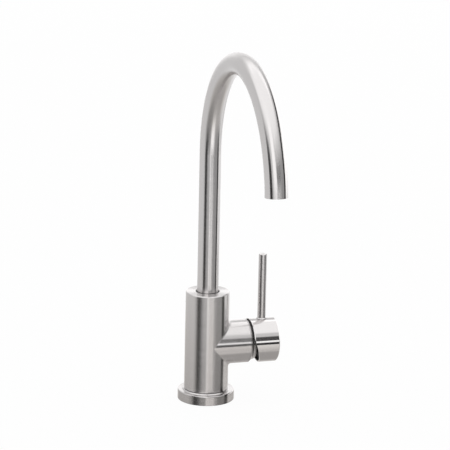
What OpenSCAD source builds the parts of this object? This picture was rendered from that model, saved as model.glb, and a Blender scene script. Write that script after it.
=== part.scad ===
// Gooseneck bar faucet with a side lever, taken apart into its real pieces.
// Millimetres. +Z is up, and the origin is on the deck at the centre of the foot.
// The valve barrel and its handle point along +X, and the spout reaches towards -Y.

/* [Spout] */
// Outside diameter of the spout tube
tube_d = 22; // [21:0.5:23]
// Wall of the spout tube
tube_wall = 1; // [0.8:0.1:1.2]
// Radius of the gooseneck at the tube's centre line
bend_r = 112; // [90:1:130]
// Height of the gooseneck's centre above the deck
bend_centre_h = 259; // [230:1:290]
// Turn of the gooseneck, from straight up to the outlet
bend_angle = 175; // [160:1:180]

/* [Body] */
// Diameter of the upright body
body_d = 45; // [45:1:50]
// Height of the body's top above the deck
body_h = 114; // [112:1:130]
// Diameter of the base ring on the deck
base_d = 58; // [57:1:64]
// Height of the base ring
base_h = 10; // [8:1:12]
// Radius of the base ring's rounded top edge
base_round = 1; // [0.4:0.2:2.4]

/* [Valve barrel] */
// Diameter of the barrel
barrel_d = 44.8; // [44:0.1:44.8]
// Height of the barrel's axis above the deck
barrel_z = 58.5; // [57:0.5:62]
// Reach of the barrel's open end from the body's axis
barrel_end = 41.5; // [41:0.5:44]

/* [Handle] */
// Diameter of the handle cap
cap_d = 46; // [45:0.5:48]
// Length of the handle cap along the barrel
cap_len = 26.8; // [25:0.2:32]
// Diameter of the lever
lever_d = 8.5; // [7:0.5:9]
// Height of the lever's tip above the deck
lever_top = 150; // [110:1:180]
// Slope of the relief at the cap's lower rim
relief_angle = 22; // [20:0.5:24]
// Outward tilt of the lever from shut to full flow
tilt_max = 24; // [20:1:24]

/* [Hidden] */
$fn = 96;
fit = 0.05;        // radial clearance of a running or a threaded fit
over = 1;          // how far a cutting shape runs past what it cuts
fine_edge = 0.3;   // small chamfer on a machined rim
edge = 0.5;        // chamfer on a turned or moulded corner

// Colours
steel = [0.74, 0.73, 0.71];
brass = [0.78, 0.65, 0.38];
ceramic = [0.93, 0.92, 0.89];
plastic = [0.86, 0.87, 0.88];
acetal = [0.11, 0.11, 0.12];
rubber = [0.07, 0.07, 0.07];
screw_steel = [0.45, 0.45, 0.47];

// Base ring and foot
base_r = base_d / 2;
body_r = body_d / 2;
foot_r = body_r - 2.5;
collar_h = base_h + 1;         // the collar stands this high and carries the body
collar_r = body_r + 1.1;
collar_slope = 1;
seal_in_r = body_r - 0.5;
seal_out_r = base_r - 2;
seal_h = 2;
top_chamfer = 0.8;
foot_chamfer = 0.4;

// Sockets in the foot: two inlet threads M10 x 1 and one stud thread M8
inlet_x = -4;
inlet_y = 9;
inlet_tap_r = 4.5;
inlet_tap_len = 14;
riser_r = 3.5;
stud_x = 9;
stud_tap_r = 3.4;
stud_tap_len = 20;

// Spout bearing in the body's top
tube_r = tube_d / 2;
tube_in_r = tube_r - tube_wall;
bearing_r = tube_r + 1;
bearing_z = 80;                 // floor of the bearing bore
bearing_mouth = 0.4;
washer_h = 2;
spigot_z = bearing_z + washer_h;
spigot_r = bearing_r - fit;
spigot_bore_r = 7.5;
tube_foot_z = 101;              // the tube's lower end, on the spigot's shoulder
neck_len = 8;
glide_drop = 0.5;               // the glide ring ends this far under the body's top
o_ring_z = [85.5, 90.5];
o_ring_groove_w = 2.4;
o_ring_groove_r = spigot_r - 1.75;
o_ring_wire_r = 0.85;
lock_z = 97;
lock_groove_r = spigot_r - 1.95;
lock_groove_w = 4.6;
lock_tap_r = 2.1;
lock_tip = 1.4;                 // the screw reaches this far into the groove
lock_depth = 2;                 // the screw's head lies this far under the surface
hex_r = 1.44;                   // socket for a 2.5 mm key, across its corners
hex_depth = 3;

// Outlet: the tube's end is bored out straight for the sleeve, lengths run up the tube
outlet_bore_r = tube_in_r + 0.4;
outlet_bore_len = 8;
sleeve_len = outlet_bore_len - 0.1;
sleeve_r = outlet_bore_r - fit;
outlet_thread_r = sleeve_r - 0.7;
aerator_r = outlet_thread_r - fit;
aerator_in_r = aerator_r - 1.6;
aerator_lip = 0.5;              // the aerator sits this far up the tube
aerator_len = 5.6;
outlet_washer_h = 1;
cell_pitch = 2.2;
cell_flats = 1.9;

// Valve cartridge: stations along the barrel's axis
barrel_r = barrel_d / 2;
pivot_x = barrel_end;
seat_x = pivot_x - 31.5;        // floor of the valve chamber
base_end_x = seat_x + 5;
fixed_end_x = base_end_x + 4;
moving_end_x = fixed_end_x + 4;
carrier_end_x = moving_end_x + 3;
boss_end_x = carrier_end_x + 4.8;
guide_x = carrier_end_x + 0.4;
flange_end_x = guide_x + 6.8;
wall_x = flange_end_x + 0.3;
nut_x = wall_x + 2.5;
throat_end_x = nut_x + 4;
guide_end_x = pivot_x + 2.5;
nut_end_x = pivot_x + 2.4;

// Valve cartridge: radii
chamber_r = 17.8;
nut_thread_r = 19;
cartridge_r = 17.6;
cavity_in_r = 14.2;
throat_r = 13.2;
guide_r = 11.2;
flange_r = cavity_in_r - 0.3;
collar_out_r = 16;
slot_gap = 4;                   // spanner slots in the nut's collar
slot_depth = 1.8;
nut_gap = 0.3;                  // between the housing's throat and the nut
disc_r = 11.2;
fixed_disc_r = 13.6;
peg_r = 1.5;
peg_len = 2.5;
peg_gap = 0.1;
peg_y = 11;
peg_z = -6;
pin_r = 1.5;
pin_half = 10;
key_w = 3;                      // key in the housing for the fixed disc
key_h = 2.2;
notch_w = key_w + 0.2;
notch_h = 4;

// Ports as [y, z, radius] from the barrel's axis: two inlets, then the outlet
seat_ports = [[7, 4, 2.7], [-7, 4, 2.7], [0, -8, 3.3]];
disc_ports = [[4.9, 4.9, 1.7], [-4.9, 4.9, 1.7], [0, -5.2, 3]];
outlet_x = -1;
seal_land = 2;                  // width of a port seal's seat round its port
seal_bore = 0.4;                // a port seal's bore is this much wider than its port
port_seal_h = 1.6;
disc_seal_h = 1;
port_step = 2.5;                // depth of the fixed disc's round ports before they step in
mix_r = 5.6;                    // mixing chamber in the moving disc
mix_z = -2;
mix_depth = 2;

// Lever linkage
stem_w = 7;
stem_h = 8;
ball_r = 3;
ball_arm = 12.5;                // from the pivot to the ball
ball_neck = 0.7;                // the stem behind the ball is this much slimmer
stem_back = 3.5;                // the flat stem starts this far behind the pivot
disc_rest_z = -2.5;             // the moving disc's centre when the valve is shut
slot_w = stem_w + 2 * fit;
slot_h = 17.2;
boss_w = 12;
boss_h = 16;
tab_y = 9.7;                    // tabs of the carrier, in sockets of the moving disc
tab_w = 2.4;
tab_h = 3;
tab_len = 1.4;
socket_w = 4;
socket_shift = 0.7;
running = 0.1;                  // clearance of a sliding piece

// Bonnet and handle cap, both round the lever's pivot
dome_r = barrel_r - 2.1;
cavity_r = dome_r + 0.6;
dome_end_x = pivot_x + 7;
dome_rim_r = sqrt(pow(dome_r, 2) - pow(dome_end_x - pivot_x, 2));
flange_edge = 0.5;              // straight rim of the bonnet's flange
bevel_end_x = pivot_x + 4.1;    // the flange's bevel runs down into the dome
bevel_end_r = dome_r - 0.7;
bonnet_wall = 1.8;
bonnet_mouth_r = 10.5;
cap_r = cap_d / 2;
cap_x = pivot_x + 3.6;
cap_end_x = cap_x + cap_len;
// At full tilt the cavity's flat floor still clears the dome's rim
cap_floor_x = pivot_x + (dome_end_x - pivot_x) * cos(tilt_max) + dome_rim_r * sin(tilt_max) + 0.55;
cap_lip = 0.4;                  // shallow bevel of the cap's rim, this deep
cap_lip_len = 0.9;
cap_round = 1;
relief_z = 6;                   // the relief starts this far above the barrel's axis
stem_socket = 10;
socket_end_x = cap_floor_x + stem_socket;
lever_r = lever_d / 2;
lever_x = (cap_x + cap_end_x) / 2 - 0.5;
lever_seat_z = cap_r - 1.2;     // spot-face under the lever's collar
lever_collar_r = lever_r + 0.95;
lever_collar_h = 1.2;
lever_stud_r = 2.5;
lever_stud_z = 12;              // lower end of the lever's stud above the barrel's axis
grub_gap = 0.02;
grub_len = 6.4;

// ---- Helpers ----

// Points of an arc about a centre, from angle a0 to a1
function arc(centre, r, a0, a1, steps) =
    [for (i = [0 : steps]) let (a = a0 + (a1 - a0) * i / steps) centre + r * [cos(a), sin(a)]];

// Square groove in a turned profile, cut from radius r to a floor, centred at height z
function groove(r, floor_r, z, w) =
    [[r, z - w / 2], [floor_r, z - w / 2], [floor_r, z + w / 2], [r, z + w / 2]];

// Turned piece about Z, from points of [radius, height]
module z_turned(points) {
    rotate_extrude() polygon(points);
}

// Turned piece about the barrel's axis, from points of [radius, x]
module x_turned(points) {
    translate([0, 0, barrel_z]) rotate([0, 90, 0]) z_turned(points);
}

// Rod along the barrel from x0 to x1, offset from its axis by y and z
module x_rod(r, x0, x1, y = 0, z = 0) {
    translate([x0, y, barrel_z + z]) rotate([0, 90, 0]) cylinder(r = r, h = x1 - x0);
}

// Block along the barrel from x0 to x1, centred on its axis but for y and z
module x_block(x0, x1, w, h, y = 0, z = 0) {
    translate([x0, y - w / 2, barrel_z + z - h / 2]) cube([x1 - x0, w, h]);
}

// Ball round the lever's pivot
module pivot_ball(r) {
    translate([pivot_x, 0, barrel_z]) rotate([0, 90, 0]) sphere(r = r);
}

// Rod along +Y from y0 to y1
module y_rod(r, y0, y1, x, z) {
    translate([x, y0, z]) rotate([-90, 0, 0]) cylinder(r = r, h = y1 - y0);
}

// Frame at the spout's outlet, with +Z pointing the way the water leaves
module at_outlet() {
    translate([0, -bend_r, bend_centre_h]) rotate([bend_angle, 0, 0])
        translate([0, bend_r, 0]) children();
}

// ---- Base and body ----

// Ring that covers the hole in the deck and carries the body on a low collar
module base_ring() {
    color(steel) z_turned(concat(
        [[foot_r + fit, 0], [seal_in_r, 0], [seal_in_r, seal_h], [seal_out_r, seal_h],
         [seal_out_r, 0], [base_r - fine_edge, 0], [base_r, fine_edge]],
        arc([base_r - base_round, base_h - base_round], base_round, 0, 90, 6),
        [[collar_r + collar_slope, base_h], [collar_r, collar_h], [foot_r + fit, collar_h]]));
}

// Gasket in the underside of the base ring
module base_seal() {
    color(rubber) z_turned([[seal_in_r + fit, 0], [seal_out_r - fit, 0],
        [seal_out_r - fit, seal_h], [seal_in_r + fit, seal_h]]);
}

// One supply way: thread in the foot, riser, and cross hole to the valve seat
module supply_way(port) {
    side = sign(port[0]);
    riser_top = barrel_z + port[1] + port[2];
    translate([inlet_x, side * inlet_y, -over]) cylinder(r = inlet_tap_r, h = inlet_tap_len + over);
    translate([inlet_x, side * inlet_y, 0]) cylinder(r = riser_r, h = riser_top);
    x_rod(port[2], inlet_x, seat_x + over, port[0], port[1]);
}

// Mixed water's way: cross hole from the valve seat, then up into the spout bearing
module outlet_way(port) {
    low_z = barrel_z + port[1] - port[2];
    x_rod(port[2], outlet_x, seat_x + over, port[0], port[1]);
    translate([outlet_x, 0, low_z]) cylinder(r = port[2], h = bearing_z + over - low_z);
}

// Upright body with the valve barrel, cut with the chamber, waterways and spout bearing
module faucet_body() {
    color(steel) difference() {
        union() {
            z_turned([[0, 0], [foot_r - edge, 0], [foot_r, edge], [foot_r, collar_h],
                [body_r - foot_chamfer, collar_h], [body_r, collar_h + foot_chamfer],
                [body_r, body_h - top_chamfer], [body_r - top_chamfer, body_h], [0, body_h]]);
            x_turned([[0, 0], [barrel_r, 0], [barrel_r, barrel_end - fine_edge],
                [barrel_r - fine_edge, barrel_end], [0, barrel_end]]);
        }
        x_rod(chamber_r, seat_x, barrel_end + over);
        x_rod(nut_thread_r, nut_x - over, barrel_end + over);
        for (side = [-1, 1])
            x_rod(peg_r + peg_gap, seat_x - peg_len - edge, seat_x + over, side * peg_y, peg_z);
        for (i = [0, 1]) supply_way(seat_ports[i]);
        outlet_way(seat_ports[2]);
        translate([stud_x, 0, -over]) cylinder(r = stud_tap_r, h = stud_tap_len + over);
        z_turned([[0, bearing_z], [bearing_r, bearing_z], [bearing_r, body_h - bearing_mouth],
            [bearing_r + bearing_mouth + over, body_h + over], [0, body_h + over]]);
        y_rod(lock_tap_r, bearing_r - over, body_r + over, 0, lock_z);
    }
}

// ---- Valve cartridge, fixed pieces ----

// Moulded base that seats in the chamber, located by two pegs
module cartridge_base() {
    color(plastic) difference() {
        union() {
            x_rod(cartridge_r - 2 * fit, seat_x, base_end_x);
            for (side = [-1, 1]) x_rod(peg_r, seat_x - peg_len, seat_x + over, side * peg_y, peg_z);
        }
        for (p = seat_ports) {
            x_rod(p[2], seat_x - over, base_end_x + over, p[0], p[1]);
            x_rod(p[2] + seal_land + fit, seat_x - over, seat_x + port_seal_h, p[0], p[1]);
            x_rod(p[2] + seal_land + fit, base_end_x - disc_seal_h, base_end_x + over, p[0], p[1]);
        }
    }
}

// Rubber rings round the three ports, between two stations on the axis
module port_rings(x0, x1) {
    color(rubber) for (p = seat_ports) difference() {
        x_rod(p[2] + seal_land, x0, x1, p[0], p[1]);
        x_rod(p[2] + seal_bore, x0 - over, x1 + over, p[0], p[1]);
    }
}

// Seals between the body's seat and the cartridge base
module port_seals() {
    port_rings(seat_x, seat_x + port_seal_h);
}

// Seals between the cartridge base and the fixed disc
module disc_seals() {
    port_rings(base_end_x - disc_seal_h, base_end_x);
}

// Ceramic disc that stays still, with a key notch and stepped ports
module fixed_disc() {
    color(ceramic) difference() {
        x_rod(fixed_disc_r, base_end_x, fixed_end_x);
        for (p = seat_ports) x_rod(p[2], base_end_x - over, base_end_x + port_step, p[0], p[1]);
        for (p = disc_ports) x_rod(p[2], base_end_x + port_step - edge, fixed_end_x + over, p[0], p[1]);
        x_block(base_end_x - over, fixed_end_x + over, notch_w, notch_h, 0, -fixed_disc_r);
    }
}

// Cartridge shell with the bearing throat for the lever guide and a key for the fixed disc
module cartridge_housing() {
    color(plastic) {
        x_turned([[cavity_in_r, base_end_x], [cartridge_r, base_end_x], [cartridge_r, nut_x - edge],
            [cartridge_r - edge, nut_x], [throat_r, nut_x], [throat_r, throat_end_x],
            [guide_r + fit, throat_end_x], [guide_r + fit, wall_x], [cavity_in_r, wall_x]]);
        x_block(base_end_x, fixed_end_x - fine_edge, key_w, key_h, 0, -cavity_in_r + key_h / 3);
    }
}

// Brass nut that clamps the cartridge, with four slots for a spanner
module retaining_nut() {
    color(brass) difference() {
        x_turned([[throat_r + nut_gap, nut_x], [nut_thread_r - fit, nut_x],
            [nut_thread_r - fit, throat_end_x], [collar_out_r, throat_end_x],
            [collar_out_r, nut_end_x], [throat_r + nut_gap, nut_end_x]]);
        x_block(nut_end_x - slot_depth, nut_end_x + over, slot_gap, 2 * nut_thread_r);
        x_block(nut_end_x - slot_depth, nut_end_x + over, 2 * nut_thread_r, slot_gap);
    }
}

// Domed cover on the nut, round the lever's pivot, that shows in the handle's gap
module bonnet() {
    color(steel) difference() {
        union() {
            x_turned([[0, pivot_x], [barrel_r, pivot_x], [barrel_r, pivot_x + flange_edge],
                [bevel_end_r, bevel_end_x], [0, bevel_end_x]]);
            intersection() {
                pivot_ball(dome_r);
                x_block(pivot_x + flange_edge, dome_end_x, 2 * barrel_d, 2 * barrel_d);
            }
        }
        x_rod(collar_out_r + fit, pivot_x - over, dome_end_x - bonnet_wall);
        x_rod(bonnet_mouth_r, pivot_x - over, dome_end_x + over);
    }
}

// ---- Valve cartridge, moving pieces ----

// Guide that turns in the throat, slotted for the stem and channelled for the disc carrier
module lever_guide() {
    color(plastic) difference() {
        x_turned([[0, guide_x], [flange_r, guide_x], [flange_r, flange_end_x], [guide_r, flange_end_x],
            [guide_r, guide_end_x - edge], [guide_r - edge, guide_end_x], [0, guide_end_x]]);
        x_block(guide_x - over, boss_end_x + edge, boss_w + 2 * running, 3 * flange_r);
        x_block(guide_x - over, guide_end_x + over, slot_w, slot_h);
        y_rod(pin_r, -flange_r, flange_r, pivot_x, barrel_z);
    }
}

// Steel pin that the stem tilts on
module pivot_pin() {
    color(screw_steel) y_rod(pin_r, -pin_half, pin_half, pivot_x, barrel_z);
}

// Sliding carrier with a socket for the stem's ball and two tabs into the moving disc
module disc_carrier() {
    color(plastic) difference() {
        union() {
            x_rod(disc_r, moving_end_x, carrier_end_x, 0, disc_rest_z);
            x_block(carrier_end_x - over, boss_end_x, boss_w, boss_h, 0, disc_rest_z);
            for (side = [-1, 1])
                x_block(moving_end_x - tab_len, moving_end_x + over, tab_w, tab_h, side * tab_y, disc_rest_z);
        }
        x_rod(ball_r + running, moving_end_x + tab_len, boss_end_x + over);
    }
}

// Ceramic disc that slides and turns on the fixed one, with the mixing chamber in its face
module moving_disc() {
    color(ceramic) difference() {
        x_rod(disc_r, fixed_end_x, moving_end_x, 0, disc_rest_z);
        x_rod(mix_r, fixed_end_x - over, fixed_end_x + mix_depth, 0, disc_rest_z + mix_z);
        for (side = [-1, 1])
            x_block(moving_end_x - tab_len - running, moving_end_x + over, socket_w, tab_h + 2 * running,
                side * (tab_y + socket_shift), disc_rest_z);
    }
}

// ---- Handle ----

// Flat stem that carries the cap, tilts on the pin and works the carrier by a ball
module cartridge_stem() {
    color(screw_steel) difference() {
        union() {
            x_block(pivot_x - stem_back, socket_end_x - 2 * running, stem_w, stem_h);
            x_rod(ball_r - ball_neck, pivot_x - ball_arm, pivot_x - stem_back + edge);
            translate([pivot_x - ball_arm, 0, barrel_z]) sphere(r = ball_r);
        }
        y_rod(pin_r + fit, -stem_w, stem_w, pivot_x, barrel_z);
    }
}

// Handle cap: about the barrel's size, hollowed round the pivot and cut away below to tilt
module handle_cap() {
    color(steel) difference() {
        x_turned([[0, cap_x], [cap_r - cap_lip, cap_x], [cap_r, cap_x + cap_lip_len],
            [cap_r, cap_end_x - cap_round], [cap_r - cap_round, cap_end_x], [0, cap_end_x]]);
        intersection() {
            pivot_ball(cavity_r);
            x_block(pivot_x, cap_floor_x, 2 * barrel_d, 2 * barrel_d);
        }
        x_block(cap_floor_x - over, socket_end_x, stem_w + 2 * running, stem_h + 2 * running);
        translate([cap_x, 0, barrel_z + relief_z]) rotate([0, -relief_angle, 0])
            translate([-barrel_d, -barrel_d, -2 * barrel_d])
                cube([barrel_d, 2 * barrel_d, 2 * barrel_d]);
        translate([lever_x, 0, barrel_z]) {
            cylinder(r = lever_stud_r + fit, h = barrel_d);
            translate([0, 0, lever_seat_z]) cylinder(r = lever_collar_r + 2 * running, h = barrel_d);
        }
    }
}

// Set screw that grips the stem through the lever's hole
module stem_grub_screw() {
    bottom_z = barrel_z + stem_h / 2 + grub_gap;
    color(screw_steel) translate([lever_x, 0, bottom_z]) difference() {
        cylinder(r = lever_stud_r, h = grub_len);
        translate([0, 0, grub_len - hex_depth]) cylinder(r = hex_r, h = hex_depth + over, $fn = 6);
    }
}

// Straight lever with a small collar and the threaded stud under it
module lever_rod() {
    tip_z = lever_top - barrel_z;
    color(steel) translate([lever_x, 0, barrel_z]) z_turned([
        [0, lever_stud_z], [lever_stud_r - edge, lever_stud_z], [lever_stud_r, lever_stud_z + edge],
        [lever_stud_r, lever_seat_z], [lever_collar_r, lever_seat_z],
        [lever_collar_r, lever_seat_z + lever_collar_h],
        [lever_r, lever_seat_z + lever_collar_h + lever_collar_r - lever_r],
        [lever_r, tip_z - edge], [lever_r - edge, tip_z], [0, tip_z]]);
}

// ---- Spout ----

// Slip washer under the spigot
module spout_thrust_washer() {
    color(acetal) z_turned([[spigot_bore_r, bearing_z], [bearing_r - 2 * fit, bearing_z],
        [bearing_r - 2 * fit, spigot_z - fit], [spigot_bore_r, spigot_z - fit]]);
}

// Dark ring that fills the gap between the tube and the body
module spout_glide_ring() {
    color(acetal) z_turned([[tube_r + fit, tube_foot_z + 0.2], [bearing_r - fit, tube_foot_z + 0.2],
        [bearing_r - fit, body_h - glide_drop], [tube_r + fit, body_h - glide_drop]]);
}

// Set screw in the body's back that holds the spigot down and lets it turn
module spout_retaining_screw() {
    color(screw_steel) difference() {
        y_rod(lock_tap_r - fit, bearing_r - lock_tip, body_r - lock_depth, 0, lock_z);
        y_rod(hex_r, body_r - lock_depth - hex_depth, body_r - lock_depth + over, 0, lock_z, $fn = 6);
    }
}

// Turned spigot brazed into the tube, with grooves for two O-rings and the retaining screw
module spout_spigot() {
    neck_r = tube_in_r - fit;
    neck_top = tube_foot_z + neck_len;
    color(brass) z_turned(concat(
        [[spigot_bore_r, spigot_z], [spigot_r - edge, spigot_z], [spigot_r, spigot_z + edge]],
        groove(spigot_r, o_ring_groove_r, o_ring_z[0], o_ring_groove_w),
        groove(spigot_r, o_ring_groove_r, o_ring_z[1], o_ring_groove_w),
        groove(spigot_r, lock_groove_r, lock_z, lock_groove_w),
        [[spigot_r, tube_foot_z], [neck_r, tube_foot_z], [neck_r, neck_top - edge],
         [neck_r - edge, neck_top], [spigot_bore_r, neck_top]]));
}

// Two O-rings that seal the spigot in its bearing
module spout_o_rings() {
    color(rubber) for (z = o_ring_z) translate([0, 0, z]) rotate_extrude()
        translate([o_ring_groove_r + 0.03 + o_ring_wire_r, 0]) circle(r = o_ring_wire_r);
}

// Wall of the spout tube, cut square
module tube_section() {
    difference() {
        circle(r = tube_r);
        circle(r = tube_in_r);
    }
}

// Gooseneck tube: riser and bend, with its end bored out straight for the sleeve
module spout_tube() {
    color(steel) difference() {
        union() {
            translate([0, 0, tube_foot_z]) linear_extrude(bend_centre_h - tube_foot_z) tube_section();
            translate([0, -bend_r, bend_centre_h]) rotate([90, 0, 90]) rotate_extrude(angle = bend_angle)
                translate([bend_r, 0]) tube_section();
        }
        at_outlet() translate([0, 0, -outlet_bore_len])
            cylinder(r = outlet_bore_r, h = outlet_bore_len + over);
    }
}

// Sleeve brazed into the tube's end, threaded for the aerator
module outlet_sleeve() {
    shoulder_z = -aerator_lip - aerator_len - outlet_washer_h;
    color(brass) at_outlet() z_turned([[aerator_in_r, -sleeve_len], [sleeve_r, -sleeve_len],
        [sleeve_r, 0], [outlet_thread_r, 0], [outlet_thread_r, shoulder_z], [aerator_in_r, shoulder_z]]);
}

// Rubber washer above the aerator
module aerator_washer() {
    top_z = -aerator_lip - aerator_len;
    color(rubber) at_outlet() z_turned([[aerator_in_r, top_z], [aerator_r, top_z],
        [aerator_r, top_z - outlet_washer_h], [aerator_in_r, top_z - outlet_washer_h]]);
}

// Threaded aerator shell with an inner lip and two slots for its key
module aerator_housing() {
    top_z = -aerator_lip - aerator_len;
    color(plastic) at_outlet() difference() {
        z_turned([[aerator_in_r, top_z], [aerator_r, top_z], [aerator_r, -aerator_lip],
            [aerator_in_r - 0.7, -aerator_lip], [aerator_in_r - 0.7, -1.9], [aerator_in_r, -1.9]]);
        translate([-1.1, -aerator_r - over, -aerator_lip - 0.9])
            cube([2.2, 2 * (aerator_r + over), 0.9 + over]);
    }
}

// Honeycomb flow straightener, three rings of hexagonal cells round a middle one
module aerator_insert() {
    rings = 3;
    top_z = -aerator_lip - aerator_len + 0.3;
    bottom_z = -1.95;
    color(plastic) at_outlet() difference() {
        translate([0, 0, top_z]) cylinder(r = aerator_in_r - fit, h = bottom_z - top_z);
        for (q = [-rings : rings]) for (s = [-rings : rings]) if (abs(q + s) <= rings)
            translate([cell_pitch * (q + s / 2), cell_pitch * s * sqrt(3) / 2, top_z - over])
                rotate(30) cylinder(r = cell_flats / sqrt(3), h = bottom_z - top_z + 2 * over, $fn = 6);
    }
}

base_ring();
base_seal();
faucet_body();
cartridge_base();
port_seals();
disc_seals();
fixed_disc();
cartridge_housing();
retaining_nut();
bonnet();
spout_thrust_washer();
spout_glide_ring();
spout_retaining_screw();
lever_guide();
pivot_pin();
disc_carrier();
moving_disc();
cartridge_stem();
handle_cap();
stem_grub_screw();
lever_rod();
spout_spigot();
spout_o_rings();
spout_tube();
outlet_sleeve();
aerator_housing();
aerator_insert();
aerator_washer();
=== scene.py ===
"""Looks of the gooseneck bar faucet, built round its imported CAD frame. Metres, +Z up."""
import math

import bmesh
import bpy
from mathutils import Matrix, Vector


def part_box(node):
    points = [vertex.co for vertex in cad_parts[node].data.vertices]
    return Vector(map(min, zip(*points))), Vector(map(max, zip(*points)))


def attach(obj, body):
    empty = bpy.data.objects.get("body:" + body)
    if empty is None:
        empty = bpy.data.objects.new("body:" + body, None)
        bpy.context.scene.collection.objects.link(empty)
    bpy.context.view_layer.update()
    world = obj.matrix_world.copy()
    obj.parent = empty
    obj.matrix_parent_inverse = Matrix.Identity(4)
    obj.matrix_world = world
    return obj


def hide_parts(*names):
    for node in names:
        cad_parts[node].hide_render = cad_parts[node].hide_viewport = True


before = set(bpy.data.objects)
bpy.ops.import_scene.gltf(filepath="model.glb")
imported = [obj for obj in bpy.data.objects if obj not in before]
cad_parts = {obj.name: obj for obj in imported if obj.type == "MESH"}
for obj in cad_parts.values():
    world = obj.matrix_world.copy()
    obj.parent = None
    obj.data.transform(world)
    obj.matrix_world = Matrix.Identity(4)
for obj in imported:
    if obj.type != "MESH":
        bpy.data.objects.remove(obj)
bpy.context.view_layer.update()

# ---- Camera: a long lens, looking down a little from left of the front ----
VIEW_AZIMUTH = math.radians(-16.5)
VIEW_ELEVATION = math.radians(15.0)
VIEW_ROLL = math.radians(1.2)
VIEW_DISTANCE = 2.836
LENS = 224.0                    # focal length in millimetres
AIM_RIGHT = 0.01625             # the point aimed at: right of the foot's centre, as seen
AIM_HEIGHT = 0.1839

# ---- Places on the part, from the frame ----
BODY_LOW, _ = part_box("faucet_body")
BONNET_LOW, BONNET_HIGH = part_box("bonnet")
CAP_LOW, CAP_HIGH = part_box("handle_cap")
LEVER_LOW, LEVER_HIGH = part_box("lever_rod")
TUBE_LOW, TUBE_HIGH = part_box("spout_tube")
BODY_RADIUS = -BODY_LOW.x
BARREL_RADIUS = (BONNET_HIGH.z - BONNET_LOW.z) / 2
BARREL_Z = (BONNET_HIGH.z + BONNET_LOW.z) / 2
PIVOT_X = BONNET_LOW.x          # the pin that the lever tilts on
CAP_RADIUS = (CAP_HIGH.z - CAP_LOW.z) / 2
CAP_WALL = 0.0011               # of the cap round its bore
CAP_BORE = CAP_RADIUS - CAP_WALL
BORE_REACH = 0.0147             # from the lever's pivot to the bore's floor
CAP_FLOOR = PIVOT_X + BORE_REACH
LEVER_X = (LEVER_LOW.x + LEVER_HIGH.x) / 2
TUBE_RADIUS = TUBE_HIGH.x
BEND_END = math.cos(math.radians(5.0))      # the gooseneck stops 5 degrees short of a half turn
# Its farthest point is the outer edge of its end, so the box gives its centre line's radius
BEND_RADIUS = (-TUBE_LOW.y - TUBE_RADIUS * BEND_END) / (1 + BEND_END)
BEND_HEIGHT = TUBE_HIGH.z - TUBE_RADIUS - BEND_RADIUS

COLLECTION = bpy.context.scene.collection


# ---- Node helpers ----

class Graph:
    """Short forms for building one node tree."""

    def __init__(self, tree):
        self.tree = tree

    def node(self, kind, **settings):
        made = self.tree.nodes.new(kind)
        for name, value in settings.items():
            setattr(made, name, value)
        return made

    def feed(self, socket, value):
        """Links an output to the socket, or sets a plain value on it."""
        if isinstance(value, bpy.types.NodeSocket):
            self.tree.links.new(value, socket)
        else:
            socket.default_value = value

    def math(self, operation, *values, clamp=False):
        made = self.node("ShaderNodeMath", operation=operation, use_clamp=clamp)
        for socket, value in zip(made.inputs, values):
            self.feed(socket, value)
        return made.outputs[0]

    def vector(self, operation, *values, scale=None):
        made = self.node("ShaderNodeVectorMath", operation=operation)
        for socket, value in zip(made.inputs, values):
            self.feed(socket, value)
        if scale is not None:
            self.feed(made.inputs["Scale"], scale)
        return made.outputs["Value" if operation in ("LENGTH", "DOT_PRODUCT") else "Vector"]

    def split(self, value):
        made = self.node("ShaderNodeSeparateXYZ")
        self.feed(made.inputs[0], value)
        return made.outputs[0], made.outputs[1], made.outputs[2]

    def join(self, x, y, z):
        made = self.node("ShaderNodeCombineXYZ")
        for socket, value in zip(made.inputs, (x, y, z)):
            self.feed(socket, value)
        return made.outputs[0]

    def ramp(self, value, low, high, to_low=0.0, to_high=1.0):
        """Smooth step from one level to another while the value goes from low to high."""
        made = self.node("ShaderNodeMapRange", interpolation_type="SMOOTHSTEP", clamp=True)
        for name, given in (("Value", value), ("From Min", low), ("From Max", high),
                            ("To Min", to_low), ("To Max", to_high)):
            self.feed(made.inputs[name], given)
        return made.outputs["Result"]

    def mix(self, share, a, b, kind="FLOAT"):
        made = self.node("ShaderNodeMix", data_type=kind)
        sockets = {"FLOAT": (0, 2, 3), "VECTOR": (0, 4, 5), "RGBA": (0, 6, 7)}[kind]
        for place, value in zip(sockets, (share, a, b)):
            self.feed(made.inputs[place], value)
        return made.outputs[{"FLOAT": 0, "VECTOR": 1, "RGBA": 2}[kind]]

    def noise(self, where, scale=1.0, detail=2.0):
        made = self.node("ShaderNodeTexNoise")
        for name, given in (("Vector", where), ("Scale", scale), ("Detail", detail)):
            self.feed(made.inputs[name], given)
        return made.outputs[0]

    def place(self):
        """Place on the surface in the object's own coordinates."""
        return self.node("ShaderNodeTexCoord").outputs["Object"]


def new_material(name):
    """Node material, its graph and its Principled shader."""
    material = bpy.data.materials.new(name)
    material.use_nodes = True
    return material, Graph(material.node_tree), material.node_tree.nodes["Principled BSDF"]


def bare_material(name):
    """Node material with an output only, its graph and the output's surface socket."""
    material = bpy.data.materials.new(name)
    material.use_nodes = True
    material.node_tree.nodes.clear()
    g = Graph(material.node_tree)
    return material, g, g.node("ShaderNodeOutputMaterial").inputs["Surface"]


# ---- Mesh helpers ----

def new_object(name, shell):
    """Object from a bmesh, which it frees."""
    mesh = bpy.data.meshes.new(name)
    shell.to_mesh(mesh)
    shell.free()
    made = bpy.data.objects.new(name, mesh)
    COLLECTION.objects.link(made)
    return made


def closed_object(name, shell):
    """Object from a closed bmesh, with every face turned outwards."""
    bmesh.ops.recalc_face_normals(shell, faces=shell.faces)
    return new_object(name, shell)


# ---- Camera and studio ----

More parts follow.
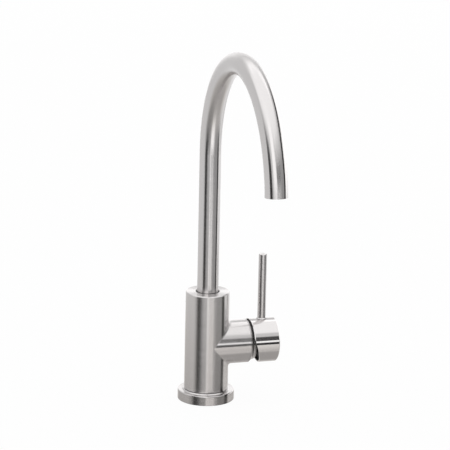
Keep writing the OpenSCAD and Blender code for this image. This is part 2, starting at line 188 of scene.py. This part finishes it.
def make_camera():
    """Long-lens camera at the photograph's angle, leaned by a small roll."""
    sin_a, cos_a = math.sin(VIEW_AZIMUTH), math.cos(VIEW_AZIMUTH)
    sin_e, cos_e = math.sin(VIEW_ELEVATION), math.cos(VIEW_ELEVATION)
    back = Vector((sin_a * cos_e, -cos_a * cos_e, sin_e))
    right = Vector((cos_a, sin_a, 0))
    up = Vector((-sin_e * sin_a, sin_e * cos_a, cos_e))
    aim = right * AIM_RIGHT + Vector((0, 0, AIM_HEIGHT))
    rolled_right = right * math.cos(VIEW_ROLL) + up * math.sin(VIEW_ROLL)
    rolled_up = up * math.cos(VIEW_ROLL) - right * math.sin(VIEW_ROLL)
    data = bpy.data.cameras.new("camera")
    data.lens = LENS
    camera = bpy.data.objects.new("camera", data)
    turn = Matrix((rolled_right, rolled_up, back)).transposed().to_4x4()
    camera.matrix_world = Matrix.Translation(aim + back * VIEW_DISTANCE) @ turn
    COLLECTION.objects.link(camera)
    bpy.context.scene.camera = camera


# Studio tent: what the metal mirrors. Bearings run from +X towards +Y, heights are above the
# horizon, both in degrees. Levels are radiance, where 1 is white.
WALL_LEVEL = 0.72
TENT_RADIUS = 3.0
TENT_CENTRE = Vector((0, -0.05, 0.15))
TENT_SUBDIVISIONS = 3
# name: (bearing, half width, height, half height, lean in degrees of bearing per degree of
# height, edge softness, level)
CARDS = {
    "floor_bounce": (0, 200, -72, 20, 0, 14, 0.60),
    "low_right_card": (34, 40, -38, 16, 0, 12, 0.90),
    "low_left_card": (-150, 30, -42, 20, 0, 10, 0.38),
    "overhead_softbox": (0, 200, 84, 40, 0, 10, 1.15),
    "side_card": (36, 38, 4, 13, 0, 4, 1.40),
    "far_card": (78, 20, 2, 30, 0, 8, 1.25),
    "back_shade": (76, 34, 27, 5, 0, 6, 0.60),
    "strip_light": (66, 44, 49, 4, 0, 3, 1.70),
    "low_front_card": (-126, 18, -22, 14, 0, 8, 0.32),
    "front_reflector": (-87, 17, -29, 23, 0, 9, 1.36),
    "front_gap": (-66, 38, 15.5, 10.5, 0, 5, 0.06),
    "front_lip": (-66, 36, 2.0, 3.6, 0, 2, 1.30),
    "front_edge": (-66, 36, -8.5, 5.5, 0, 2, 0.03),
    "key_softbox": (-117, 16, 30, 30, -0.35, 7, 1.25),
    "right_gradient": (-38, 20, -6, 32, 0, 16, 0.34),
    "upper_flag": (8, 28, 26, 7, 0, 5, 0.04),
    "right_flag": (-15, 9, -2, 26, 0, 5, 0.005),
    "left_flag": (-153, 14, 0, 30, -0.4, 8, 0.02),
}


def tent_level(g, bearing, height):
    """Radiance of the tent at a bearing and a height: the wall, then each card over it."""
    level = WALL_LEVEL
    for centre, half, middle, reach, lean, soft, value in CARDS.values():
        shift = g.math("MULTIPLY", g.math("SUBTRACT", height, middle), lean)
        turn = g.math("SUBTRACT", g.math("SUBTRACT", bearing, centre), shift)
        wrapped = g.math("WRAP", turn, 180.0, -180.0)
        across = g.ramp(g.math("ABSOLUTE", wrapped), half - soft / 2, half + soft / 2, 1.0, 0.0)
        off = g.math("ABSOLUTE", g.math("SUBTRACT", height, middle))
        along = g.ramp(off, reach - soft / 2, reach + soft / 2, 1.0, 0.0)
        level = g.mix(g.math("MULTIPLY", across, along), level, value)
    return level


def make_tent():
    """Round tent with softboxes and flags on it, seen by every ray but the camera's."""
    shell = bmesh.new()
    bmesh.ops.create_icosphere(shell, subdivisions=TENT_SUBDIVISIONS, radius=TENT_RADIUS)
    tent = new_object("studio_tent", shell)
    tent.location = TENT_CENTRE
    material, g, surface = bare_material("studio_tent")
    x, y, z = g.split(g.vector("NORMALIZE", g.place()))
    bearing = g.math("DEGREES", g.math("ARCTAN2", y, x))
    height = g.math("DEGREES", g.math("ARCSINE", z))
    glow = g.node("ShaderNodeEmission")
    g.feed(glow.inputs["Color"], tent_level(g, bearing, height))
    g.feed(surface, glow.outputs[0])
    tent.data.materials.append(material)
    tent.visible_camera = False
    tent.visible_shadow = False


FLOOR_SIZE = 12.0
FLOOR_COLOUR = (0.9, 0.9, 0.9, 1)
FLOOR_ROUGHNESS = 0.9
FLOOR_GLOW = 0.95               # share of plain white in what the camera sees of it


def make_floor():
    """Pale deck. It looks white to the camera and keeps a faint shadow of the part."""
    shell = bmesh.new()
    bmesh.ops.create_grid(shell, x_segments=1, y_segments=1, size=FLOOR_SIZE / 2)
    floor = new_object("floor", shell)
    material, g, shader = new_material("floor")
    shader.inputs["Base Color"].default_value = FLOOR_COLOUR
    shader.inputs["Roughness"].default_value = FLOOR_ROUGHNESS
    path = g.node("ShaderNodeLightPath").outputs
    seen = g.math("ADD", path["Is Camera Ray"], g.math(
        "ADD", path["Is Glossy Ray"], path["Is Transmission Ray"]), clamp=True)
    glow = g.node("ShaderNodeEmission")
    blend = g.node("ShaderNodeMixShader")
    g.feed(blend.inputs[0], g.math("MULTIPLY", seen, FLOOR_GLOW))
    g.feed(blend.inputs[1], shader.outputs[0])
    g.feed(blend.inputs[2], glow.outputs[0])
    g.feed(material.node_tree.nodes["Material Output"].inputs["Surface"], blend.outputs[0])
    floor.data.materials.append(material)
    floor.visible_glossy = False


# Radii on the deck in metres, and the share of red, green and blue light that its reflection
# keeps at the foot and near it
SHADE_INNER, SHADE_MIDDLE, SHADE_OUTER = 0.04, 0.22, 0.46
SHADE_HEIGHT = -0.0002          # just under the deck's surface
SHADE_SIDES = 64
SHADE_AT_FOOT = (0.68, 0.66, 0.64, 1)
SHADE_NEAR = (0.78, 0.76, 0.73, 1)
WHITE = (1, 1, 1, 1)


def make_deck_shade():
    """Round sheet in the deck, seen only in reflections. It dims what the metal mirrors of the
    deck near the foot, where the part's own shadow lies."""
    shell = bmesh.new()
    bmesh.ops.create_circle(shell, cap_ends=True, segments=SHADE_SIDES, radius=SHADE_OUTER)
    sheet = new_object("deck_shade", shell)
    sheet.location = (0, 0, SHADE_HEIGHT)
    material, g, surface = bare_material("deck_shade")
    reach = g.vector("LENGTH", g.place())
    near = g.mix(g.ramp(reach, SHADE_INNER, SHADE_MIDDLE), SHADE_AT_FOOT, SHADE_NEAR, "RGBA")
    share = g.mix(g.ramp(reach, SHADE_MIDDLE, SHADE_OUTER), near, WHITE, "RGBA")
    clear = g.node("ShaderNodeBsdfTransparent")
    g.feed(clear.inputs["Color"], share)
    g.feed(surface, clear.outputs[0])
    sheet.data.materials.append(material)
    for unseen in ("visible_camera", "visible_diffuse", "visible_shadow", "visible_transmission"):
        setattr(sheet, unseen, False)


def make_world():
    """Plain white surroundings."""
    world = bpy.data.worlds.new("world")
    world.use_nodes = True
    world.node_tree.nodes["Background"].inputs["Color"].default_value = WHITE
    bpy.context.scene.world = world
    bpy.context.scene.view_settings.view_transform = "Standard"


# ---- Materials ----

AXIS_X, AXIS_Z = (1, 0, 0), (0, 0, 1)
STEEL = (0.742, 0.720, 0.716)
BRUSHING = 1.0                  # anisotropy
NOISE_SPREAD = (0.3, 0.7)       # nearly all of a noise's values
FINE_LINES = (2600.0, 3.0)      # lines per metre along the axis, and noise detail
BROAD_LINES = (520.0, 2.0)
ROUND_PITCH = 35.0              # how fast the lines change round a piece, per metre
BROAD_SHARE = 0.35
LINE_DARKER, LINE_LIGHTER = 0.06, 0.05
GLOSS_SWING = 0.1
LINE_RELIEF = 0.03              # strength of the lines' bump
LINE_DEPTH = 0.0002
# Painted shade: crevices found by ambient occlusion, and the cap's bore, are painted near black,
# matt and not metallic, where shade falls
PAINTED_SHADE_COLOUR = (0.006, 0.006, 0.006, 1)
PAINTED_SHADE_ROUGHNESS = 0.55
CREVICE_SHADE_REACH = 0.006
CREVICE_SHADE_SAMPLES = 8
CREVICE_SHADE_RANGE = (0.30, 0.45)    # openness at which the painted crevice shade is full black, and at which it is gone
SKIN = 0.00005                  # a face counts as inside a radius or a plane up to this far out
FLANK = 0.0001                  # the same where the barrel leaves the column


def add_bump(g, shader, height, strength, depth):
    """Relief from a noise, shown by the shader's normal."""
    bump = g.node("ShaderNodeBump")
    bump.inputs["Strength"].default_value = strength
    bump.inputs["Distance"].default_value = depth
    g.feed(bump.inputs["Height"], height)
    g.feed(shader.inputs["Normal"], bump.outputs[0])


def lathe_frame(g, where, axis, centre):
    """For a piece turned about a straight axis: (radial vector, axis vector, place along it)."""
    local = g.vector("SUBTRACT", where, centre)
    along = g.vector("DOT_PRODUCT", local, axis)
    radial = g.vector("SUBTRACT", local, g.vector("SCALE", axis, scale=along))
    return radial, axis, along


def brushed_steel(name, frame_of, roughness, streaks=1.0, shade_tone=1.0, painted_shade_of=None):
    """Steel brushed round its own axis: fine lines run round the piece and smear what it
    mirrors along the axis. frame_of(graph, place) gives the radial vector, axis and place, and
    streaks is how strongly the lines show. shade_tone darkens the steel as painted shade.
    Crevices found by ambient occlusion are painted black as shade, and
    painted_shade_of(graph, place) masks an inside painted black as shade."""
    material, g, shader = new_material(name)
    where = g.place()
    radial, axis, along = frame_of(g, where)
    lines_at = g.math("ADD", along, g.vector("LENGTH", radial))
    across = g.vector("SCALE", radial, scale=ROUND_PITCH)
    fine, broad = [
        g.noise(g.vector("ADD", across, g.vector(
            "SCALE", axis, scale=g.math("MULTIPLY", lines_at, pitch))), detail=detail)
        for pitch, detail in (FINE_LINES, BROAD_LINES)]
    lines = g.mix(BROAD_SHARE, fine, broad)
    # shade_tone darkens this copy of the steel: painted shade
    darker = [c * shade_tone * (1 - LINE_DARKER * streaks) for c in STEEL] + [1]
    lighter = [min(1, c * shade_tone * (1 + LINE_LIGHTER * streaks)) for c in STEEL] + [1]
    colour = g.mix(g.ramp(lines, *NOISE_SPREAD), darker, lighter, "RGBA")
    gloss = g.ramp(lines, *NOISE_SPREAD,
                   roughness * (1 - GLOSS_SWING), roughness * (1 + GLOSS_SWING))
    # Painted shade: ambient occlusion darkens crevices to black, together with the masked inside
    openness = g.node("ShaderNodeAmbientOcclusion", samples=CREVICE_SHADE_SAMPLES)
    openness.inputs["Distance"].default_value = CREVICE_SHADE_REACH
    dark = g.ramp(openness.outputs["AO"], *CREVICE_SHADE_RANGE, 1.0, 0.0)
    if painted_shade_of:
        dark = g.math("MAXIMUM", dark, painted_shade_of(g, where))
    colour = g.mix(dark, colour, PAINTED_SHADE_COLOUR, "RGBA")
    gloss = g.mix(dark, gloss, PAINTED_SHADE_ROUGHNESS)
    g.feed(shader.inputs["Metallic"], g.math("SUBTRACT", 1.0, dark))
    g.feed(shader.inputs["Base Color"], colour)
    g.feed(shader.inputs["Roughness"], gloss)
    shader.inputs["Anisotropic"].default_value = BRUSHING
    tangent = g.vector("ADD", g.vector("NORMALIZE", radial), axis)
    to_world = g.node("ShaderNodeVectorTransform", vector_type="VECTOR",
                      convert_from="OBJECT", convert_to="WORLD")
    g.feed(to_world.inputs[0], tangent)
    g.feed(shader.inputs["Tangent"], to_world.outputs[0])
    add_bump(g, shader, lines, LINE_RELIEF * streaks, LINE_DEPTH)
    return material


def about_z(centre_x=0.0):
    """Frame of a piece turned about an upright axis."""
    return lambda g, where: lathe_frame(g, where, AXIS_Z, (centre_x, 0, 0))


def about_barrel(g, where):
    """Frame of a piece turned about the barrel's axis."""
    return lathe_frame(g, where, AXIS_X, (0, 0, BARREL_Z))


def cap_bore_painted_shade(g, where):
    """Mask of the cap's bore, down to its floor, which is painted black as shade."""
    radial, _, along = about_barrel(g, where)
    return g.math("MULTIPLY", g.math("LESS_THAN", g.vector("LENGTH", radial), CAP_BORE + SKIN),
                  g.math("LESS_THAN", along, CAP_FLOOR + SKIN))


def body_frame(g, where):
    """The column turns about Z and the barrel, which lies past the column's radius, about X."""
    x, y, _ = g.split(where)
    reach = g.vector("LENGTH", g.join(x, y, 0.0))
    on_barrel = g.math("MULTIPLY", g.math("GREATER_THAN", reach, BODY_RADIUS + FLANK),
                       g.math("GREATER_THAN", x, 0.0))
    column = lathe_frame(g, where, AXIS_Z, (0, 0, 0))
    barrel = about_barrel(g, where)
    radial = g.mix(on_barrel, column[0], barrel[0], "VECTOR")
    axis = g.mix(on_barrel, AXIS_Z, AXIS_X, "VECTOR")
    return radial, axis, g.mix(on_barrel, column[2], barrel[2])


def spout_frame(g, where):
    """The riser is straight up to the bend's centre, and past it the tube follows the bend."""
    x, y, z = g.split(where)
    out = g.math("ADD", y, BEND_RADIUS)
    rise = g.math("SUBTRACT", z, BEND_HEIGHT)
    on_bend = g.math("GREATER_THAN", rise, 0.0)
    beyond = g.math("MAXIMUM", on_bend, g.math("LESS_THAN", out, 0.0))
    angle = g.math("MULTIPLY", g.math("ARCTAN2", rise, out), beyond)
    cos_a, sin_a = g.math("COSINE", angle), g.math("SINE", angle)
    reach = g.mix(beyond, out, g.vector("LENGTH", g.join(0.0, out, rise)))
    offset = g.math("SUBTRACT", reach, BEND_RADIUS)
    radial = g.join(x, g.math("MULTIPLY", offset, cos_a), g.math("MULTIPLY", offset, sin_a))
    axis = g.join(0.0, g.math("MULTIPLY", sin_a, -1.0), cos_a)
    along = g.mix(beyond, rise, g.math("MULTIPLY", angle, BEND_RADIUS))
    return radial, axis, along


GRAIN_DETAIL = 4.0
GRAIN_DARKER, GRAIN_LIGHTER = 0.12, 0.08
GRAIN_GLOSS_SWING = 0.15
GRAIN_RELIEF = 0.15             # strength of the grain's bump
GRAIN_DEPTH = 0.0001


def grained_material(name, colour, roughness, grain, metallic):
    """Moulded, lapped or turned material with a fine grain in its colour and gloss. The grain is
    in specks per metre."""
    material, g, shader = new_material(name)
    specks = g.noise(g.place(), scale=grain, detail=GRAIN_DETAIL)
    darker = [c * (1 - GRAIN_DARKER) for c in colour] + [1]
    lighter = [min(1, c * (1 + GRAIN_LIGHTER)) for c in colour] + [1]
    g.feed(shader.inputs["Base Color"], g.mix(specks, darker, lighter, "RGBA"))
    g.feed(shader.inputs["Roughness"], g.ramp(
        specks, *NOISE_SPREAD,
        roughness * (1 - GRAIN_GLOSS_SWING), roughness * (1 + GRAIN_GLOSS_SWING)))
    shader.inputs["Metallic"].default_value = metallic
    add_bump(g, shader, specks, GRAIN_RELIEF, GRAIN_DEPTH)
    return material


# slot: (colour, roughness, grain, metallic)
GRAINED = {
    "brass": ((0.80, 0.60, 0.30), 0.32, 1800.0, 1.0),
    "ceramic": ((0.86, 0.85, 0.82), 0.18, 2500.0, 0.0),
    "white_plastic": ((0.80, 0.81, 0.82), 0.42, 1500.0, 0.0),
    "dark_acetal": ((0.018, 0.018, 0.02), 0.45, 1500.0, 0.0),
    "black_rubber": ((0.02, 0.02, 0.02), 0.7, 2200.0, 0.0),
    "plain_steel": ((0.45, 0.45, 0.46), 0.35, 1600.0, 1.0),
}


def dress():
    """Gives every CAD node its material, and returns the brushed ones by node."""
    grained = {slot: grained_material(slot, *look) for slot, look in GRAINED.items()}
    brushed = {
        # The ring's steel is darkened to 0.93 as painted shade for the deck's shadow that it
        # mirrors
        "base_ring": brushed_steel("ring_steel", about_z(), 0.20, streaks=1.2, shade_tone=0.93),
        "faucet_body": brushed_steel("body_steel", body_frame, 0.24, streaks=0.3),
        "bonnet": brushed_steel("bonnet_steel", about_barrel, 0.22, streaks=0.3),
        # The cap's bore is painted black: painted shade
        "handle_cap": brushed_steel("cap_steel", about_barrel, 0.13, streaks=0.3,
                                    painted_shade_of=cap_bore_painted_shade),
        # The lever's steel is darkened to 0.95: painted shade
        "lever_rod": brushed_steel("lever_steel", about_z(LEVER_X), 0.16, streaks=0.3, shade_tone=0.95),
        "spout_tube": brushed_steel("spout_steel", spout_frame, 0.18, streaks=0.2),
    }
    for name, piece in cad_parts.items():
        slot = piece.material_slots[0]
        slot.material = brushed.get(name) or grained[slot.material.name]
    return brushed


# ---- Blend where the barrel meets the body ----

BLEND_RADIUS = 0.003
BLEND_STEPS = 10                # along the arc
BLEND_TURNS = 120               # round the barrel
BLEND_SINK = 0.001              # how deep its hidden corners lie in the metal
SHARP_ANGLE = math.radians(50)


def blend_section(turn):
    """A rolling ball's arc from the body to the barrel at an angle round the barrel, and three
    corners sunk in the metal."""
    out = (BARREL_RADIUS + BLEND_RADIUS) * math.sin(turn)
    rise = (BARREL_RADIUS + BLEND_RADIUS) * math.cos(turn)
    along = math.sqrt((BODY_RADIUS + BLEND_RADIUS) ** 2 - out ** 2)
    ball = Vector((along, out, rise))
    to_body = -Vector((along, out, 0)).normalized()
    to_barrel = -Vector((0, math.sin(turn), math.cos(turn)))
    points = [ball + BLEND_RADIUS * to_body.slerp(to_barrel, i / BLEND_STEPS)
              for i in range(BLEND_STEPS + 1)]
    crease_out = BARREL_RADIUS * math.sin(turn)
    crease = Vector((math.sqrt(BODY_RADIUS ** 2 - crease_out ** 2), crease_out,
                     BARREL_RADIUS * math.cos(turn)))
    points.append(ball + (BLEND_RADIUS + BLEND_SINK) * to_barrel)
    points.append(crease + BLEND_SINK * (to_body + to_barrel))
    points.append(ball + (BLEND_RADIUS + BLEND_SINK) * to_body)
    return points


def make_blend(material):
    """Closed ring of such sections, which fills the corner between the barrel and the body."""
    shell = bmesh.new()
    rings = []
    for k in range(BLEND_TURNS):
        section = blend_section(2 * math.pi * (k + 0.5) / BLEND_TURNS)
        rings.append([shell.verts.new(point + Vector((0, 0, BARREL_Z))) for point in section])
    for ring, after in zip(rings, rings[1:] + rings[:1]):
        for i in range(len(ring)):
            j = (i + 1) % len(ring)
            shell.faces.new((ring[i], ring[j], after[j], after[i]))
    blend = closed_object("barrel_blend", shell)
    blend.data.shade_smooth()
    blend.data.set_sharp_from_angle(angle=SHARP_ANGLE)
    blend.data.materials.append(material)
    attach(blend, "root")


# ---- Handle cap: as the CAD cap, but with a thinner rim and a shallower relief ----

CAP_LIP = 0.0004                # shallow bevel of the rim, this deep
CAP_LIP_LENGTH = 0.0009
CAP_CHAMFER = 0.001             # of the cap's end and of the bore's floor
RELIEF_RISE = 0.0085            # the relief starts this far above the barrel's axis
RELIEF_ANGLE = math.radians(15.5)
RELIEF_OVERRUN = 0.005          # how far its block runs on past the rim
SEAT_DEPTH = 0.0012             # of the spot-face under the lever's collar
SEAT_HEIGHT = CAP_RADIUS - SEAT_DEPTH
SEAT_CLEARANCE = 0.0002
SEAT_RADIUS = (LEVER_HIGH.x - LEVER_LOW.x) / 2 + SEAT_CLEARANCE
TURN_STEPS = 180
ROUND_MATCH = 0.9985            # cosine within which a facet stands for a turned face


def turned_object(name, profile):
    """Closed solid turned about the barrel's axis. The profile holds (radius, x), and it starts
    and ends on the axis."""
    shell = bmesh.new()
    first, last = [shell.verts.new((x, 0, BARREL_Z)) for x in (profile[0][1], profile[-1][1])]
    rings = []
    for k in range(TURN_STEPS):
        angle = 2 * math.pi * k / TURN_STEPS
        out, rise = math.sin(angle), math.cos(angle)
        rings.append([shell.verts.new((x, r * out, BARREL_Z + r * rise))
                      for r, x in profile[1:-1]])
    for ring, after in zip(rings, rings[1:] + rings[:1]):
        for i in range(len(ring) - 1):
            shell.faces.new((ring[i], ring[i + 1], after[i + 1], after[i]))
        shell.faces.new((first, ring[0], after[0]))
        shell.faces.new((last, after[-1], ring[-1]))
    return closed_object(name, shell)


def relief_object(name):
    """Block whose leaning face cuts the cap's lower rim away."""
    reach = 4 * CAP_RADIUS
    turn = Matrix.Rotation(-RELIEF_ANGLE, 4, "Y")
    edge = Matrix.Translation((CAP_LOW.x, 0, BARREL_Z + RELIEF_RISE))
    middle = Matrix.Translation((-reach / 2, 0, RELIEF_OVERRUN - reach / 2))
    shell = bmesh.new()
    bmesh.ops.create_cube(shell, size=reach, matrix=edge @ turn @ middle)
    return closed_object(name, shell)


def seat_object(name):
    """Upright cylinder that cuts the flat seat under the lever's collar."""
    shell = bmesh.new()
    place = Matrix.Translation((LEVER_X, 0, BARREL_Z + SEAT_HEIGHT + CAP_RADIUS / 2))
    bmesh.ops.create_cone(shell, cap_ends=True, segments=TURN_STEPS // 2, radius1=SEAT_RADIUS,
                          radius2=SEAT_RADIUS, depth=CAP_RADIUS, matrix=place)
    return closed_object(name, shell)


def cap_normal(face, point):
    """Normal at a point of a face: the turned form's own, or the face's where a cut made it."""
    radial = Vector((0, point.y, point.z - BARREL_Z)).normalized()
    side = 1 if face.normal.dot(radial) > 0 else -1
    tilt = side * math.sqrt(max(0.0, 1 - face.normal.x ** 2))
    turned = Vector((face.normal.x, 0, 0)) + radial * tilt
    return turned if face.normal.dot(turned) > ROUND_MATCH else face.normal


def make_cap(material):
    """Cap turned, bored over the bonnet, relieved below and spot-faced for the lever."""
    cap = turned_object("handle_cap_shell", [
        (0, CAP_LOW.x),
        (CAP_RADIUS - CAP_LIP, CAP_LOW.x), (CAP_RADIUS, CAP_LOW.x + CAP_LIP_LENGTH),
        (CAP_RADIUS, CAP_HIGH.x - CAP_CHAMFER), (CAP_RADIUS - CAP_CHAMFER, CAP_HIGH.x),
        (0, CAP_HIGH.x)])
    bore = turned_object("bore", [
        (0, PIVOT_X), (CAP_BORE, PIVOT_X),
        (CAP_BORE, CAP_FLOOR - CAP_CHAMFER), (CAP_BORE - CAP_CHAMFER, CAP_FLOOR),
        (0, CAP_FLOOR)])
    cutters = [bore, relief_object("relief"), seat_object("lever_seat")]
    for cutter in cutters:
        cut = cap.modifiers.new(cutter.name, "BOOLEAN")
        cut.operation = "DIFFERENCE"
        cut.solver = "MANIFOLD"
        cut.object = cutter
    depsgraph = bpy.context.evaluated_depsgraph_get()
    mesh = bpy.data.meshes.new_from_object(cap.evaluated_get(depsgraph))
    cap.modifiers.clear()
    cap.data = mesh
    for cutter in cutters:
        bpy.data.objects.remove(cutter)
    mesh.shade_smooth()
    mesh.normals_split_custom_set([
        cap_normal(face, mesh.vertices[mesh.loops[i].vertex_index].co)
        for face in mesh.polygons for i in face.loop_indices])
    mesh.materials.clear()      # the cuts leave empty slots
    mesh.materials.append(material)
    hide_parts("handle_cap")
    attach(cap, "handle")


make_camera()
make_world()
make_tent()
make_floor()
make_deck_shade()
brushed_by_node = dress()
make_blend(brushed_by_node["faucet_body"])
make_cap(brushed_by_node["handle_cap"])
